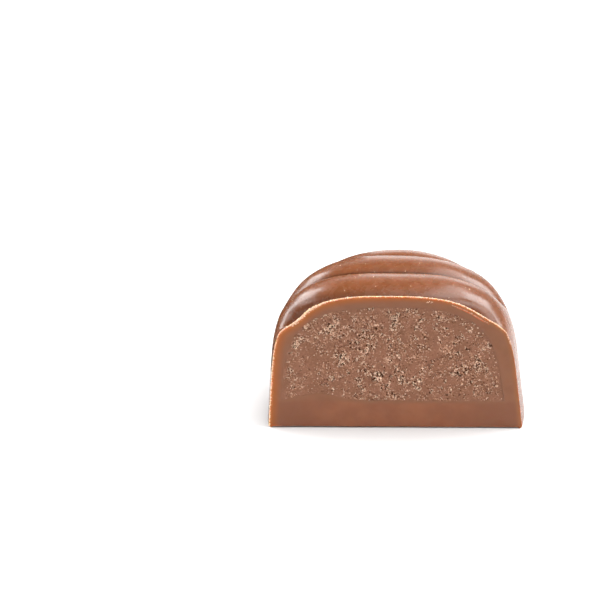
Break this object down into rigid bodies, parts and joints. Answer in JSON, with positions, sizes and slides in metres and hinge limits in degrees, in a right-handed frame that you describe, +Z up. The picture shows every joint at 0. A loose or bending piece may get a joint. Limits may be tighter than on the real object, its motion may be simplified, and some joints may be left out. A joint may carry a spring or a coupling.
{
  "type": "cut filled chocolate praline",
  "caption": "Round moulded milk-chocolate praline with a ridged dome, cut across to show its thin shell, thick base and crumbly nut filling.",
  "frame": {"origin": "centre of the bounding box's bottom, in the plane of the flat base", "axes": "+Z up, square to the base. -Y is the outward normal of the cut. X runs along the cut, nearly along the ridges"},
  "size_m": [0.033, 0.0204, 0.0198],
  "materials": {
    "milk_chocolate": "moulded milk chocolate, satin gloss outside and dull at the cut",
    "nut_filling": "dull crumbly nut and milk-chocolate paste with fine pores"
  },
  "bodies": {
    "root": {"chocolate_shell": "milk_chocolate", "praline_filling": "nut_filling"}
  },
  "joints": []
}
